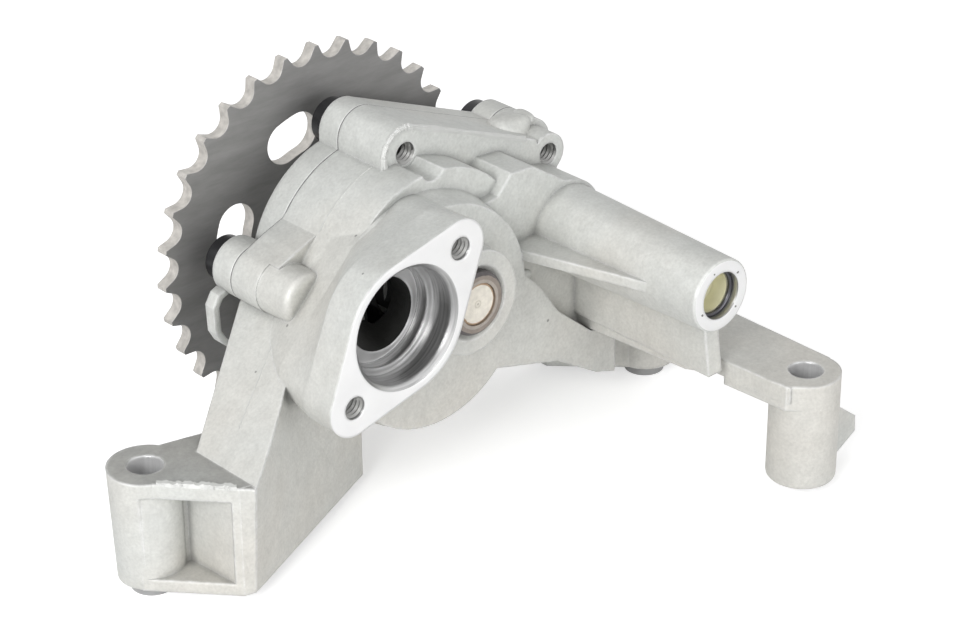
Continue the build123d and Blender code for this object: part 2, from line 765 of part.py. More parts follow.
def sleeve(centre):
    with BuildPart() as ring:
        with BuildSketch(level(-sleeve_proud)):
            with Locations(centre):
                Circle(sleeve_r)
                Circle(foot_hole_r, mode=Mode.SUBTRACT)
        extrude(amount=sleeve_length)
    return ring


left_sleeve = sleeve((0, 0))
mid_sleeve = sleeve(mid_foot)

pieces = {
    "pump_housing": pump_housing,
    "pump_cover": pump_cover,
    "front_bush": front_bush,
    "rear_bush": rear_bush,
    "drive_shaft": drive_shaft,
    "shaft_end_plug": shaft_end_plug,
    "inner_rotor": inner_rotor,
    "outer_rotor": outer_rotor,
    "chain_sprocket": chain_sprocket,
    "sprocket_washer": sprocket_washer,
    "sprocket_bolt": sprocket_bolt,
    "cover_bolts": cover_bolts,
    "cover_dowels": cover_dowels,
    "relief_piston": relief_piston,
    "relief_spring": relief_spring,
    "relief_cup": relief_cup,
    "relief_ring": relief_ring,
    "left_sleeve": left_sleeve,
    "mid_sleeve": mid_sleeve,
}
for name, piece in pieces.items():
    piece.part.label = name
    export_step(piece.part, f"parts/{name}.step")
    print(name, piece.part.is_valid, len(piece.solids()), round(piece.part.volume, 1))
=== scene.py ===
import json
import math
import random

import bmesh
import bpy
from mathutils import Matrix, Vector


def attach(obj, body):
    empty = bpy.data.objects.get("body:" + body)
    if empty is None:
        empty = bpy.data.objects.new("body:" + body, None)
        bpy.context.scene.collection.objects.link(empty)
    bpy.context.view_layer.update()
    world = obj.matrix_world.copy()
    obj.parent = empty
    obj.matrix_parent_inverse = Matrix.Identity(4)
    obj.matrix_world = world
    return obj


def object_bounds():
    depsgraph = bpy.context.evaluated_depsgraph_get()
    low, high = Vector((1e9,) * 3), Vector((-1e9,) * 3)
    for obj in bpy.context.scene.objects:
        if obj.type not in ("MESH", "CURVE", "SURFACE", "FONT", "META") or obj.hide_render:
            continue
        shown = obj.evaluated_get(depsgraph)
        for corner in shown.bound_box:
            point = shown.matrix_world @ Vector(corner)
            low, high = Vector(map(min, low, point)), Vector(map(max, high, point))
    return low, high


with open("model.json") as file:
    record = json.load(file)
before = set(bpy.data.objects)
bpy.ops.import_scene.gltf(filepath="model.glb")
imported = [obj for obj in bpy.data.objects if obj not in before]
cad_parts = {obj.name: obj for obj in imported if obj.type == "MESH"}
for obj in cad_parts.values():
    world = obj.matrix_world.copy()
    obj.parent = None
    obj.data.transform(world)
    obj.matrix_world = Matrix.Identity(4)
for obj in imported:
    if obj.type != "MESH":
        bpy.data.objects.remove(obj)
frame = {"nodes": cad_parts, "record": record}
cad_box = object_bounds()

# The casting in metres: the shaft's line, depths in front of the sprocket, and places as offsets from
# the shaft
MM = 0.001
SHAFT_X = 69 * MM
SHAFT_Z = 44.5 * MM
SPROCKET_Y = 27.5 * MM
FLANGE_FACE = 55 * MM
TUBE_FRONT = 84 * MM
JOINT_FACE = 14 * MM
EAR_FRONT = 28 * MM
MOULD_FACE = 25 * MM
FLANGE_CENTRE = (-23.3 * MM, 5 * MM)
FLANGE_ANGLE = math.radians(41.5)
FLANGE_PCD = 38 * MM
MOUTH_R = 13.7 * MM
MOUTH_END = 45 * MM
INLET_AXIS = (-19.5 * MM, 3.5 * MM)
INLET_R = 12.2 * MM
INLET_START = 45.6 * MM
TUBE_AXIS = (36.2 * MM, 1.7 * MM)
TUBE_BORE_R = 5.6 * MM
TUBE_BORE_END = 40 * MM
EARS = [(0.5 * MM, 26.2 * MM), (41.5 * MM, 13 * MM), (-29 * MM, 4 * MM)]
SCREW_R = 2.5 * MM
SCREW_WALL_R = 2.7 * MM
SCREW_LENGTH = 12.1 * MM
FOOT_BORE_R = 3.9 * MM
FLOOR_Z = cad_box[0].z

# The feet and the outlet port in millimetres, from the left foot's bolt axis on the mounting face
FOOT_HEIGHT = 25
LEFT_FOOT = (0, 0)
MID_FOOT = (137, -5.5)
FRONT_FOOT = (123.8, -64.5)
FRONT_FOOT_R = 7.497
LEG_TOP = 46.5
LEG_END = (55.4, -1)
OUTLET = (129, 8)
OUTLET_R = 5.5
HOUSING_BACK = 13
HAIR = 0.03

SHARP_ANGLE = math.radians(35)
FLOOR_REACH = 6.0
FLOOR_GLOW = 0.42
WORLD_LIGHT = 0.5


def at(along, depth, up):
    """A point from its offsets to the shaft axis and its depth in front of the sprocket."""
    return Vector((SHAFT_X + along, SPROCKET_Y - depth, SHAFT_Z + up))


def new_object(name, data):
    """An object in the scene."""
    made = bpy.data.objects.new(name, data)
    bpy.context.scene.collection.objects.link(made)
    return made


class Nodes:
    """Short calls for building one material's node tree."""

    def __init__(self, name):
        self.material = bpy.data.materials.new(name)
        self.material.use_nodes = True
        self.tree = self.material.node_tree
        self.tree.nodes.clear()
        self.shader = self.tree.nodes.new("ShaderNodeBsdfPrincipled")
        output = self.tree.nodes.new("ShaderNodeOutputMaterial")
        self.tree.links.new(self.shader.outputs[0], output.inputs[0])
        self.coords = self.tree.nodes.new("ShaderNodeTexCoord").outputs["Object"]
        self.geometry = self.tree.nodes.new("ShaderNodeNewGeometry")

    def put(self, socket, value):
        """Link or set a socket, unless the value is None."""
        if isinstance(value, bpy.types.NodeSocket):
            self.tree.links.new(value, socket)
        elif value is not None:
            socket.default_value = value

    def math(self, operation, first, second=None, third=None, clamp=False):
        node = self.tree.nodes.new("ShaderNodeMath")
        node.operation = operation
        node.use_clamp = clamp
        for socket, value in zip(node.inputs, (first, second, third)):
            self.put(socket, value)
        return node.outputs[0]

    def xyz(self, vector):
        node = self.tree.nodes.new("ShaderNodeSeparateXYZ")
        self.put(node.inputs[0], vector)
        return node.outputs

    def stretched(self, scale):
        """The coordinates times a scale for each axis."""
        node = self.tree.nodes.new("ShaderNodeMapping")
        self.put(node.inputs["Vector"], self.coords)
        node.inputs["Scale"].default_value = scale
        return node.outputs[0]

    def noise(self, scale, detail=3.0, roughness=0.5, vector=None):
        node = self.tree.nodes.new("ShaderNodeTexNoise")
        self.put(node.inputs["Vector"], vector or self.coords)
        node.inputs["Scale"].default_value = scale
        node.inputs["Detail"].default_value = detail
        node.inputs["Roughness"].default_value = roughness
        return node.outputs[0]

    def voronoi(self, scale):
        """The distance to the nearest cell's middle and a random value of that cell."""
        node = self.tree.nodes.new("ShaderNodeTexVoronoi")
        self.put(node.inputs["Vector"], self.coords)
        node.inputs["Scale"].default_value = scale
        return node.outputs["Distance"], self.xyz(node.outputs["Color"])[0]

    def spread(self, value, low, high, to_low, to_high):
        """The value taken from one range to another, and held within it."""
        node = self.tree.nodes.new("ShaderNodeMapRange")
        for socket, given in zip(node.inputs, (value, low, high, to_low, to_high)):
            self.put(socket, given)
        return node.outputs[0]

    def mix(self, amount, first, second):
        node = self.tree.nodes.new("ShaderNodeMix")
        node.data_type = "RGBA"
        self.put(node.inputs[0], amount)
        self.put(node.inputs[6], first)
        self.put(node.inputs[7], second)
        return node.outputs[2]

    def shade(self, colour, factor):
        """The colour times a factor."""
        node = self.tree.nodes.new("ShaderNodeMix")
        node.data_type = "RGBA"
        node.blend_type = "MULTIPLY"
        node.inputs[0].default_value = 1
        factors = self.tree.nodes.new("ShaderNodeCombineXYZ")
        for socket in factors.inputs:
            self.put(socket, factor)
        self.put(node.inputs[6], colour)
        self.put(node.inputs[7], factors.outputs[0])
        return node.outputs[2]

    def soft_edges(self, radius):
        """The normal, rounded near edges."""
        node = self.tree.nodes.new("ShaderNodeBevel")
        node.samples = 4
        node.inputs["Radius"].default_value = radius
        return node.outputs[0]

    def bump(self, height, distance, strength=1.0, normal=None):
        node = self.tree.nodes.new("ShaderNodeBump")
        node.inputs["Strength"].default_value = strength
        node.inputs["Distance"].default_value = distance
        self.put(node.inputs["Height"], height)
        self.put(node.inputs["Normal"], normal)
        return node.outputs[0]

    def occlusion(self, distance):
        """1 on open ground, falling in corners."""
        node = self.tree.nodes.new("ShaderNodeAmbientOcclusion")
        node.samples = 6
        node.only_local = True
        node.inputs["Distance"].default_value = distance
        return node.outputs["AO"]

    def dot(self, first, second):
        node = self.tree.nodes.new("ShaderNodeVectorMath")
        node.operation = "DOT_PRODUCT"
        self.put(node.inputs[0], first)
        self.put(node.inputs[1], second)
        return node.outputs["Value"]

    def radius_from(self, point, axis="Y"):
        """Distance from an axis through the point, along Y or Z."""
        x, y, z = self.xyz(self.coords)
        pairs = {"Y": ((x, point.x), (z, point.z)), "Z": ((x, point.x), (y, point.y))}[axis]
        squares = [self.math("POWER", self.math("SUBTRACT", a, b), 2.0) for a, b in pairs]
        return self.math("SQRT", self.math("ADD", *squares))

    def any_of(self, masks):
        """The highest of the masks."""
        highest = masks[0]
        for mask in masks[1:]:
            highest = self.math("MAXIMUM", highest, mask)
        return highest

    def plane_mask(self, axis, level, width=0.2 * MM):
        """1 on flat faces that lie at the level along the axis, X, Y or Z."""
        index = "XYZ".index(axis)
        near = self.math("COMPARE", self.xyz(self.coords)[index], level, width)
        flat = self.math("ABSOLUTE", self.xyz(self.geometry.outputs["True Normal"])[index])
        return self.math("MULTIPLY", near, self.math("GREATER_THAN", flat, 0.98))

    def edge_mask(self, bevel):
        """0 on flat ground, rising at edges."""
        turn = self.dot(bevel, self.geometry.outputs["Normal"])
        return self.math("MULTIPLY", self.math("SUBTRACT", 1.0, turn), 6.0, clamp=True)

    def finish(self, colour, roughness, metallic, normal=None):
        self.put(self.shader.inputs["Base Color"], colour)
        self.put(self.shader.inputs["Roughness"], roughness)
        self.put(self.shader.inputs["Metallic"], metallic)
        self.put(self.shader.inputs["Normal"], normal)
        return self.material


def grey(value, warm=0.0):
    """A grey, which can lean a little to brown."""
    return (value * (1 + warm), value, value * (1 - 1.6 * warm), 1)


def cast_aluminium(name, planes, turned, drilled, painted_shade_passage):
    """Die-cast surface with grain and patches, painted shade and painted edge highlights, machined on the
    planes and in the bores.
    """
    n = Nodes(name)
    x, y, z = n.xyz(n.coords)

    # Cast colour: mottled, with warmer patches, painted shade on top-facing faces and in corners, and darker
    # on the left foot's top
    sand = n.noise(1500, 2, 0.6)
    mottle = n.math("MULTIPLY", n.spread(n.noise(260, 4, 0.65), 0.3, 0.7, 0.93, 1.05),
                    n.spread(sand, 0.3, 0.7, 0.93, 1.06))
    patches = n.spread(n.noise(22, 3), 0.4, 0.65, 0.0, 1.0)
    base = n.mix(patches, (0.575, 0.585, 0.565, 1), (0.585, 0.572, 0.535, 1))
    # Top-facing faces painted darker: painted shade
    top = n.spread(n.xyz(n.geometry.outputs["Normal"])[2], 0.85, 0.98, 1.0, 0.86)
    base = n.shade(n.shade(base, mottle), top)
    # Painted shade in corners and creases, from the occlusion
    openness = n.occlusion(2.5 * MM)
    base = n.shade(base, n.spread(openness, 0.35, 0.85, 0.52, 1.0))
    foot_top = n.math("MULTIPLY", n.plane_mask("Z", FOOT_HEIGHT * MM),
                      n.math("LESS_THAN", x, 24 * MM))
    base = n.mix(foot_top, base, n.shade(base, n.spread(n.noise(120, 4), 0.35, 0.65, 0.6, 0.74)))

    # Pores, edges lighter from wear and from a painted highlight, and the dark line of the joint
    distance, chance = n.voronoi(260)
    pore = n.math("MULTIPLY", n.math("LESS_THAN", distance, 0.09), n.math("GREATER_THAN", chance, 0.975))
    base = n.mix(n.math("MULTIPLY", pore, 0.6), base, grey(0.1))
    bevel = n.soft_edges(0.9 * MM)
    # Edges painted lighter, partly as wear and partly as a painted highlight
    wear_and_highlight = n.math("MULTIPLY", n.spread(n.noise(500, 3), 0.35, 0.65, 0.3, 1.0),
                  n.spread(openness, 0.5, 0.8, 0.0, 1.0))
    edge = n.math("MULTIPLY", n.edge_mask(bevel), wear_and_highlight)
    base = n.mix(edge, base, grey(0.82))
    seam = n.math("COMPARE", y, SPROCKET_Y - JOINT_FACE, 0.13 * MM)
    base = n.mix(n.math("MULTIPLY", seam, 0.8), base, grey(0.06))

    # Machined places: flat faces, turned bores and drilled foot bores
    masks = [n.plane_mask(axis, level) for axis, level in planes]
    for point, radius, low, high in turned:
        inside = n.math("LESS_THAN", n.radius_from(point), radius)
        span = n.math("MULTIPLY", n.math("GREATER_THAN", y, low), n.math("LESS_THAN", y, high))
        masks.append(n.math("MULTIPLY", inside, span))
    wall = n.math("LESS_THAN", n.math("ABSOLUTE", n.xyz(n.geometry.outputs["True Normal"])[2]), 0.3)
    flat = n.any_of(masks[:len(planes)])
    for point, radius in drilled:
        hole = n.math("MULTIPLY", n.math("LESS_THAN", n.radius_from(point, "Z"), radius), wall)
        masks.append(hole)
        flat = n.math("MAXIMUM", flat, n.math("MULTIPLY", hole, 0.7))
    machined = n.any_of(masks)
    rings = n.noise(2.2, 2, 0.6, n.stretched((40, 900, 40)))
    turned_tone = n.shade(grey(0.5), n.spread(rings, 0.35, 0.65, 0.75, 1.2))
    cut = n.mix(flat, turned_tone, n.shade(grey(0.8), n.spread(n.noise(140, 3), 0.3, 0.7, 0.96, 1.02)))

    # Painted shade inside the suction passage: faces that look towards its axis are painted near black
    point, radius, level = painted_shade_passage
    facing = n.xyz(n.geometry.outputs["True Normal"])
    outward = n.math("ADD", n.math("MULTIPLY", n.math("SUBTRACT", x, point.x), facing[0]),
                     n.math("MULTIPLY", n.math("SUBTRACT", z, point.z), facing[2]))
    inside = n.math("MULTIPLY", n.math("LESS_THAN", n.radius_from(point), radius),
                    n.math("LESS_THAN", outward, -0.1 * MM))
    painted_passage_shade = n.math("MULTIPLY", inside,
                  n.math("MULTIPLY", n.math("GREATER_THAN", y, level),
                         n.math("LESS_THAN", y, SPROCKET_Y - JOINT_FACE - MM)))

    colour = n.mix(machined, base, cut)
    # The suction passage painted near black: painted shade
    colour = n.mix(n.math("MULTIPLY", painted_passage_shade, 0.93), colour, grey(0.02))
    grain = n.math("ADD", sand, n.math("MULTIPLY", n.noise(420, 3), 1.6))
    grain = n.math("MULTIPLY", grain, n.math("SUBTRACT", 1.0, n.math("MULTIPLY", machined, 0.93)))
    roughness = n.spread(machined, 0.0, 1.0, 0.55, 0.3)
    polished = n.math("MULTIPLY", machined, n.math("SUBTRACT", 1.0, flat))
    metallic = n.spread(polished, 0.0, 1.0, 0.35, 0.9)
    return n.finish(colour, roughness, metallic, n.bump(grain, 0.09 * MM, 0.8, bevel))


def brushed(name, value, roughness, stretch, metallic=0.8, warm=0.0, flank=False):
    """Steel with fine marks drawn along one axis, and with paler cut edges where flank is set."""
    n = Nodes(name)
    marks = n.noise(60, 4, 0.7, n.stretched(stretch))
    colour = n.shade(grey(value, warm), n.spread(marks, 0.3, 0.7, 0.86, 1.14))
    if flank:
        side = n.math("ABSOLUTE", n.xyz(n.geometry.outputs["True Normal"])[1])
        cut = n.shade((0.52, 0.5, 0.47, 1), n.spread(n.noise(700, 3), 0.3, 0.7, 0.8, 1.15))
        colour = n.mix(n.math("LESS_THAN", side, 0.5), colour, cut)
    bevel = n.soft_edges(0.25 * MM)
    # Edges painted paler: a painted highlight
    colour = n.mix(n.math("MULTIPLY", n.edge_mask(bevel), 0.4), colour, grey(min(0.9, value * 2.2)))
    return n.finish(colour, roughness, metallic, n.bump(marks, 0.02 * MM, 0.35, bevel))


def plain(name, colour, roughness, metallic):
    """A smooth finish with faint unevenness."""
    n = Nodes(name)
    tone = n.shade(colour, n.spread(n.noise(300, 3), 0.3, 0.7, 0.92, 1.06))
    return n.finish(tone, roughness, metallic, n.bump(n.noise(2500, 2), 0.01 * MM, 0.4))


def ringed(name, rings, roughness, metallic):
    """Turned face about the shaft axis: a colour for each radius, from the middle outwards."""
    n = Nodes(name)
    radius = n.radius_from(at(0, 0, 0))
    uneven = n.math("ADD", radius, n.math("MULTIPLY", n.noise(900, 3), 0.35 * MM))
    colour = rings[0][1]
    for limit, next_colour in rings[1:]:
        colour = n.mix(n.math("GREATER_THAN", uneven, limit), colour, next_colour)
    colour = n.shade(colour, n.spread(n.noise(800, 3), 0.3, 0.7, 0.88, 1.08))
    circles = n.math("SINE", n.math("MULTIPLY", radius, 14000.0))
    return n.finish(colour, roughness, metallic, n.bump(circles, 0.01 * MM, 0.3))


# Machined places: flat faces as axis and level, bores as a point on the axis, radius and reach along Y,
# and the passage painted with shade as a point on its axis, radius and front end
flange_point = at(FLANGE_CENTRE[0], FLANGE_FACE, FLANGE_CENTRE[1])
tube_point = at(TUBE_AXIS[0], TUBE_FRONT, TUBE_AXIS[1])
inlet_point = at(INLET_AXIS[0], 0, INLET_AXIS[1])
housing_planes = [
    ("Y", SPROCKET_Y - FLANGE_FACE), ("Y", SPROCKET_Y - TUBE_FRONT), ("Y", SPROCKET_Y - JOINT_FACE),
    ("Z", 0.0),
]
housing_bores = [
    (flange_point, MOUTH_R, SPROCKET_Y - FLANGE_FACE - MM, SPROCKET_Y - MOUTH_END),
    (tube_point, TUBE_BORE_R, SPROCKET_Y - TUBE_FRONT - MM, SPROCKET_Y - TUBE_BORE_END),
]
flange_step = Vector((math.cos(FLANGE_ANGLE), math.sin(FLANGE_ANGLE))) * FLANGE_PCD / 2
flange_holes = {"high": (FLANGE_CENTRE[0] + flange_step.x, FLANGE_CENTRE[1] + flange_step.y),
                "low": (FLANGE_CENTRE[0] - flange_step.x, FLANGE_CENTRE[1] - flange_step.y)}
for along, up in flange_holes.values():
    housing_bores.append((at(along, 0, up), SCREW_WALL_R, SPROCKET_Y - FLANGE_FACE + 0.1 * MM,
                          SPROCKET_Y - FLANGE_FACE + SCREW_LENGTH))
for along, up in EARS[:2]:
    housing_bores.append((at(along, 0, up), SCREW_WALL_R, SPROCKET_Y - EAR_FRONT + 0.1 * MM, SPROCKET_Y))
foot_bores = [(Vector((*foot, 0)) * MM, FOOT_BORE_R) for foot in (LEFT_FOOT, MID_FOOT, FRONT_FOOT)]
inlet_painted_shade_passage = (inlet_point, INLET_R, SPROCKET_Y - INLET_START)
cast = cast_aluminium("cast_aluminium", housing_planes, housing_bores, foot_bores, inlet_painted_shade_passage)
finishes = {
    "cast": cast,
    "bronze": plain("bearing_bronze", (0.45, 0.33, 0.16, 1), 0.35, 0.9),
    "shaft_steel": ringed("shaft_steel", [(0, (0.42, 0.38, 0.34, 1)), (5.6 * MM, (0.3, 0.26, 0.23, 1)),
                                          (6.5 * MM, (0.12, 0.11, 0.11, 1))], 0.4, 0.6),
    "plug": ringed("cream_plug", [(0, (0.5, 0.45, 0.38, 1)), (0.45 * MM, (0.74, 0.7, 0.62, 1)),
                                  (0.8 * MM, (0.62, 0.58, 0.5, 1)), (1.1 * MM, (0.74, 0.7, 0.62, 1)),
                                  (4.35 * MM, (0.42, 0.3, 0.2, 1))], 0.5, 0.1),
    "sintered": brushed("sintered_steel", 0.25, 0.5, (1, 1, 1)),
    "sprocket": brushed("sprocket_steel", 0.245, 0.5, (1, 1, 5), 0.55, 0.01, flank=True),
    "black_steel": plain("black_oxide", (0.025, 0.025, 0.027, 1), 0.28, 0.5),
    "pin_steel": brushed("pin_steel", 0.42, 0.3, (1, 1, 1)),
    "spring_steel": plain("spring_steel", (0.1, 0.1, 0.11, 1), 0.3, 0.9),
    "zinc": plain("yellow_zinc", (0.8, 0.78, 0.6, 1), 0.22, 0.35),
}
slots = {part["node"]: part["material_slot"] for part in frame["record"]["subparts"]}
for node, piece in frame["nodes"].items():
    piece.data.materials.clear()
    piece.data.materials.append(finishes[slots[node]])


def add_mesh(name, build, finish, body="casing"):
    """A mesh piece from a bmesh builder, riding on a body."""
    shape = bmesh.new()
    build(shape)
    bmesh.ops.recalc_face_normals(shape, faces=shape.faces)
    data = bpy.data.meshes.new(name)
    shape.to_mesh(data)
    shape.free()
    piece = new_object(name, data)
    data.materials.append(finish)
    for face in data.polygons:
        face.use_smooth = True
    data.set_sharp_from_angle(angle=SHARP_ANGLE)
    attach(piece, body)


def skin(shape, rows, ring=False):
    """Faces between rows of vertices, with a cap at each end unless the rows form a ring."""
    following = rows[1:] + rows[:1] if ring else rows[1:]
    for first, second in zip(rows, following):
        for k in range(len(first)):
            after = (k + 1) % len(first)
            shape.faces.new((first[k], second[k], second[after], first[after]))
    if not ring:
        shape.faces.new(rows[0])
        shape.faces.new(rows[-1][::-1])


def loft_builder(loops, ring=False):
    """A closed skin through loops of points."""
    def build(shape):
        skin(shape, [[shape.verts.new(point) for point in loop] for loop in loops], ring)
    return build


def thread_builder(centre, start, length, radius, depth=0.42 * MM, pitch=1.0 * MM):
    """An inward thread ridge that winds along a hole, from the start depth towards the mouth."""
    def build(shape):
        steps = 24
        rows = []
        for step in range(int(steps * (length / pitch)) + 1):
            angle = 2 * math.pi * step / steps
            along = start + pitch * step / steps
            row = []
            for inset, shift in ((0.0, -0.42), (depth, 0.0), (0.0, 0.42)):
                r = radius + 0.02 * MM - inset
                row.append(shape.verts.new(at(centre[0] + r * math.cos(angle), along + shift * pitch,
                                              centre[1] + r * math.sin(angle))))
            rows.append(row)
        skin(shape, rows)
    return build


# Thread ridges in the flange's two screw holes and in the open holes of the ears
thread_finish = plain("thread_aluminium", (0.36, 0.36, 0.35, 1), 0.35, 0.8)
for name, centre in flange_holes.items():
    add_mesh(f"flange_thread_{name}", thread_builder(centre, FLANGE_FACE - 10 * MM, 9.4 * MM, SCREW_R),
             thread_finish)
for number, centre in enumerate(EARS[:2]):
    add_mesh(f"ear_thread_{number}", thread_builder(centre, EAR_FRONT - 4.4 * MM, 4 * MM, SCREW_R),
             thread_finish)


def seam_builder(path, width, height, seed, fall=0.3 * MM):
    """An uneven ridge of flash along a path of points with their outward directions."""
    def build(shape):
        dice = random.Random(seed)
        rows = []
        last = len(path) - 1
        for index, (point, out) in enumerate(path):
            side = (path[min(index + 1, last)][0] - path[max(index - 1, 0)][0]).cross(out).normalized()
            tall = height * dice.uniform(0.3, 1.0)
            left = side * width * dice.uniform(0.35, 0.6)
            rows.append([shape.verts.new(corner) for corner in (
                point - left - out * fall, point - left * 0.6 + out * tall,
                point + left * 0.5 + out * tall * dice.uniform(0.7, 1.0), point + left - out * fall)])
        skin(shape, rows)
    return build


def hull_builder(corners):
    """The solid between the corners."""
    def build(shape):
        for corner in corners:
            shape.verts.new(corner)
        bmesh.ops.convex_hull(shape, input=shape.verts)
    return build


def lump_builder(centre, radii, roughness, seed):
    """A rough casting lump: a ball stretched to the radii and dented."""
    def build(shape):
        dice = random.Random(seed)
        bmesh.ops.create_icosphere(shape, subdivisions=3, radius=1)
        waves = [(Vector([dice.uniform(-3, 3) for _ in range(3)]), dice.uniform(0, 6)) for _ in range(6)]
        for vertex in shape.verts:
            push = sum(math.sin(wave.dot(vertex.co) + shift) for wave, shift in waves) / len(waves)
            ball = vertex.co * (1 + roughness * push)
            vertex.co = centre + Vector([ball[k] * radii[k] for k in range(3)])
    return build


def arc_path(centre, radius, depth, start, end, steps):
    """Points on an arc at one depth, with their outward directions."""
    path = []
    for step in range(steps + 1):
        angle = math.radians(start + (end - start) * step / steps)
        out = Vector((math.cos(angle), 0, math.sin(angle)))
        path.append((at(centre[0], depth, centre[1]) + out * radius, out))
    return path


def straight_path(start, end, out, steps, sway=0.0, seed=1):
    """Points from the start to the end that sway to both sides, with their outward direction."""
    dice = random.Random(seed)
    side = (end - start).cross(out).normalized()
    return [(start.lerp(end, step / steps) + side * dice.uniform(-sway, sway), out)
            for step in range(steps + 1)]


def rim_path(corners, depth, steps):
    """Points along a front face's rim in millimetres; their outward direction leans to the front."""
    path = []
    for (start_x, start_z), (end_x, end_z) in zip(corners, corners[1:]):
        side = Vector((start_z - end_z, 0, end_x - start_x)).normalized()
        for step in range(steps):
            share = step / steps
            point = at((start_x + (end_x - start_x) * share) * MM, depth,
                       (start_z + (end_z - start_z) * share) * MM)
            path.append((point, (side + Vector((0, -1, 0))).normalized()))
    return path


# Flash left by the mould along the web's rim, round the chamber, over the left ear, down the ramp and on
# the left foot's edge: path, width and height
seam_finish = plain("cast_seam", (0.55, 0.555, 0.54, 1), 0.6, 0.25)
ramp_out = Vector((-0.589, 0, 0.808))
top_ear = (EARS[0][0] / MM, EARS[0][1] / MM)
rim_r = 5.9
ear_rim = [(top_ear[0] + rim_r * math.cos(math.radians(degrees)),
            top_ear[1] + rim_r * math.sin(math.radians(degrees))) for degrees in range(180, 67, -8)]
seams = {
    "web_rim": (rim_path([(-5.4, 23.2)] + ear_rim + [(14, 27.2), (26, 22.3), (37, 17.8)],
                         EAR_FRONT - 0.1 * MM, 5), 1.5, 0.3),
    "seam_chamber": (arc_path((0, 0), 25 * MM, MOULD_FACE, 104, 150, 60), 0.6, 0.22),
    "seam_left_ear": (arc_path(EARS[2], 5.95 * MM, MOULD_FACE, -75, 95, 40), 0.3, 0.14),
    "seam_ramp": (straight_path(at(-33 * MM, 27 * MM, -0.9 * MM), at(-51.9 * MM, 36 * MM, -14.7 * MM),
                                ramp_out, 50, 0.12 * MM), 0.35, 0.12),
    "foot_rim": (straight_path(Vector((-2.6, -7.0, FOOT_HEIGHT)) * MM,
                               Vector((7.9, -19.0, FOOT_HEIGHT)) * MM,
                               Vector((0, 0, 1)), 34, 0.15 * MM, 4), 2.0, 0.6),
}
for number, (name, (path, width, height)) in enumerate(seams.items()):
    add_mesh(name, seam_builder(path, width * MM, height * MM, number + 3), seam_finish)

# Rough lumps left by the casting: centre, radii, roughness and seed
lumps = {
    "ear_lump": (at(38.3 * MM, 19.5 * MM, 18.0 * MM), (4.6, 4.6, 2.6), 0.5, 7),
    "ear_lump_small": (at(42.5 * MM, 19.0 * MM, 18.6 * MM), (2.4, 2.6, 1.3), 0.5, 9),
    "shelf_lump": (at(20.6 * MM, 41.9 * MM, -4.6 * MM), (2.2, 1.0, 1.6), 0.6, 12),
}
for name, (centre, radii, roughness, seed) in lumps.items():
    add_mesh(name, lump_builder(centre, [radius * MM for radius in radii], roughness, seed), cast)


def leg_side(across, rise):
    """A point on the leg's flat side in millimetres, from shares of the way to its end and its top."""
    low = Vector((10.3, -20.6, 0)).lerp(Vector((*LEG_END, 0)), across)
    high = Vector((10, -23.8, LEG_TOP)).lerp(Vector((46, 3.6, LEG_TOP)), across)
    return low.lerp(high, rise)


def curve_point(begin, heading, end, arrival, share):
    """A point on the curve from one place to another that has these directions at its ends."""
    return (begin * (2 * share ** 3 - 3 * share ** 2 + 1) + heading * (share ** 3 - 2 * share ** 2 + share)
            + end * (3 * share ** 2 - 2 * share ** 3) + arrival * (share ** 3 - share ** 2))


def ring_point(centre, radius, degrees, height):
    """A point round an upright axis, in metres from millimetres."""
    angle = math.radians(degrees)
    return Vector((centre[0] + radius * math.cos(angle), centre[1] + radius * math.sin(angle), height)) * MM


# The leg's right end, which the casting carries on in a soft curve from the middle of the leg's side
leg_loops = []
layers = 12
curve_steps = 16
lowest, rise_span = 0.003, 0.64
arrival = Vector((20, 7, 0))
for layer in range(layers + 1):
    rise = lowest + rise_span * layer / layers
    begin = leg_side(0.5, rise) + Vector((0, 0.05, 0))
    heading = (leg_side(0.6, rise) - leg_side(0.5, rise)) * 5
    end = Vector((*LEG_END, begin.z))
    loop = [curve_point(begin, heading, end, arrival, step / curve_steps) * MM
            for step in range(curve_steps + 1)]
    loop += [Vector((*place, begin.z)) * MM for place in ((55.8, 0.4), (55.9, 8), (33, 6))]
    leg_loops.append(loop)
add_mesh("leg_end_blend", loft_builder(leg_loops), cast)

# The wall round the outlet port, whose mouth reaches past the casting's back edge: height and swell of
# each loop
port_loops = []
for height, swell in ((0.02, 1.3), (6.4, 1.3), (10, -0.3)):
    loop = [ring_point(OUTLET, OUTLET_R, degrees, height) for degrees in range(145, 34, -5)]
    loop += [Vector((OUTLET[0] + along, HOUSING_BACK + swell * share, height)) * MM
             for along, share in ((6.6, -0.05), (5.2, 0.6), (3.4, 1), (-3.4, 1), (-5.2, 0.6), (-6.6, -0.05))]
    port_loops.append(loop)
add_mesh("outlet_port_wall", loft_builder(port_loops), cast)

# The left foot's near corner, a hair clear of the solid's top and bottom
corner_low = [(6.6, -18.6), (10.3, -20.6), (13, -19)]
corner_high = [(6.6, -18.6), (10, -22.3), (13, -20)]
corner_points = [Vector((*place, height)) * MM for pair in zip(corner_low, corner_high)
                 for place, height in zip(pair, (HAIR, FOOT_HEIGHT - HAIR))]
add_mesh("foot_corner_blend", hull_builder(corner_points), cast)

# The front foot's width, the same down to its rounded bottom edge: radius and height of each loop
ring_steps = 128
foot_profile = [(6.5, 0.02), (6.9, 0.03), (7.2, 0.12), (7.4, 0.4), (FRONT_FOOT_R, 0.9),
                (FRONT_FOOT_R, FOOT_HEIGHT - HAIR), (6.5, FOOT_HEIGHT - HAIR)]
foot_loops = [[ring_point(FRONT_FOOT, radius, 360 * step / ring_steps, height)
               for step in range(ring_steps)] for radius, height in foot_profile]
add_mesh("front_foot_width", loft_builder(foot_loops, ring=True), cast)

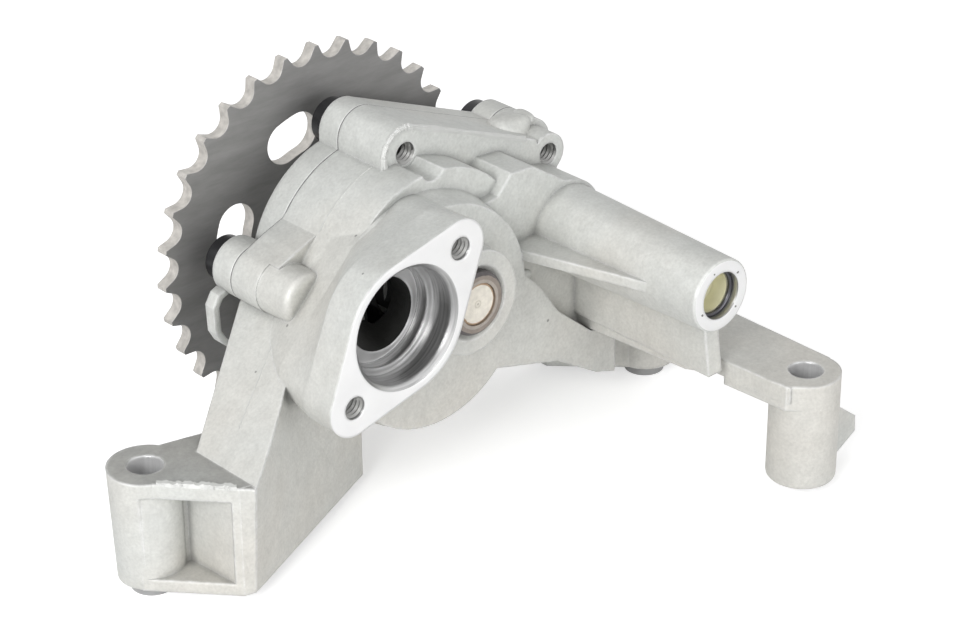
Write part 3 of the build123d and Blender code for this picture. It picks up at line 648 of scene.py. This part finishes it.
# Stake marks in the tube's end
mark_finish = plain("stake_marks", (0.16, 0.16, 0.15, 1), 0.5, 0.5)
mark_ring = 6.1 * MM
for number, degrees in enumerate((38, 112, 205, 318)):
    angle = math.radians(degrees)
    spot = at(TUBE_AXIS[0] + mark_ring * math.cos(angle), TUBE_FRONT - 0.2 * MM,
              TUBE_AXIS[1] + mark_ring * math.sin(angle))
    add_mesh(f"stake_mark_{number}", lump_builder(spot, (0.4 * MM, 0.3 * MM, 0.3 * MM), 0.4, number),
             mark_finish)

# Pale floor that goes on to the horizon
floor_data = bpy.data.meshes.new("floor")
floor_data.from_pydata([(x * FLOOR_REACH, y * FLOOR_REACH, FLOOR_Z)
                        for x, y in ((-1, -1), (1, -1), (1, 1), (-1, 1))], [], [(0, 1, 2, 3)])
floor = new_object("floor", floor_data)
white = bpy.data.materials.new("white_floor")
white.use_nodes = True
tree = white.node_tree
surface = tree.nodes["Principled BSDF"]
surface.inputs["Base Color"].default_value = (0.9, 0.9, 0.9, 1)
surface.inputs["Roughness"].default_value = 1.0
surface.inputs["Specular IOR Level"].default_value = 0.0
surface.inputs["Emission Color"].default_value = (1, 1, 1, 1)
path = tree.nodes.new("ShaderNodeLightPath")
glow = tree.nodes.new("ShaderNodeMath")
glow.operation = "MULTIPLY"
glow.inputs[1].default_value = FLOOR_GLOW
tree.links.new(path.outputs["Is Camera Ray"], glow.inputs[0])
tree.links.new(glow.outputs[0], surface.inputs["Emission Strength"])
floor_data.materials.append(white)

# White surroundings: full white to the camera and to glossy rays, dimmer as a light
world = bpy.data.worlds.new("studio")
bpy.context.scene.world = world
world.use_nodes = True
tree = world.node_tree
background = tree.nodes["Background"]
background.inputs["Color"].default_value = (1, 1, 1, 1)
path = tree.nodes.new("ShaderNodeLightPath")
seen = tree.nodes.new("ShaderNodeMath")
seen.operation = "MAXIMUM"
tree.links.new(path.outputs["Is Camera Ray"], seen.inputs[0])
tree.links.new(path.outputs["Is Transmission Ray"], seen.inputs[1])
mirrored = tree.nodes.new("ShaderNodeMath")
mirrored.operation = "MAXIMUM"
tree.links.new(seen.outputs[0], mirrored.inputs[0])
tree.links.new(path.outputs["Is Glossy Ray"], mirrored.inputs[1])
strength = tree.nodes.new("ShaderNodeMapRange")
strength.inputs["To Min"].default_value = WORLD_LIGHT
strength.inputs["To Max"].default_value = 1.0
tree.links.new(mirrored.outputs[0], strength.inputs["Value"])
tree.links.new(strength.outputs[0], background.inputs["Strength"])


def softbox(name, place, target, size, power):
    """A rectangular lamp that faces the target."""
    light = bpy.data.lights.new(name, "AREA")
    light.shape = "RECTANGLE"
    light.size, light.size_y = size
    light.energy = power
    lamp = new_object(name, light)
    lamp.location = place
    lamp.rotation_mode = "QUATERNION"
    lamp.rotation_quaternion = (Vector(target) - Vector(place)).to_track_quat("-Z", "Y")


middle = (cad_box[0] + cad_box[1]) / 2
softbox("key", middle + Vector((-0.74, -0.3, 0.42)), middle, (0.45, 0.45), 6.4)
softbox("fill", middle + Vector((0.1, -0.85, 0.1)), middle, (0.6, 0.4), 2.8)
softbox("top", middle + Vector((0.1, 0.2, 0.8)), middle, (0.7, 0.5), 0.7)

# Camera at the photograph's place
AZIMUTH = math.radians(-42.96)
ELEVATION = math.radians(28.25)
ROLL = math.radians(-0.26)
LENS = 106.41
CAMERA_PLACE = Vector((-279.2, -397.2, 315.6)) * MM
back = Vector((math.sin(AZIMUTH) * math.cos(ELEVATION), -math.cos(AZIMUTH) * math.cos(ELEVATION),
               math.sin(ELEVATION)))
level_right = Vector((math.cos(AZIMUTH), math.sin(AZIMUTH), 0))
level_up = back.cross(level_right)
right = level_right * math.cos(ROLL) + level_up * math.sin(ROLL)
up = level_up * math.cos(ROLL) - level_right * math.sin(ROLL)
lens = bpy.data.cameras.new("camera")
lens.lens = LENS
lens.sensor_width = 36
lens.clip_start = 0.01
lens.clip_end = 50
camera = new_object("camera", lens)
camera.matrix_world = Matrix.Translation(CAMERA_PLACE) @ Matrix((right, up, back)).transposed().to_4x4()
bpy.context.scene.camera = camera

bpy.context.scene.view_settings.view_transform = "Standard"
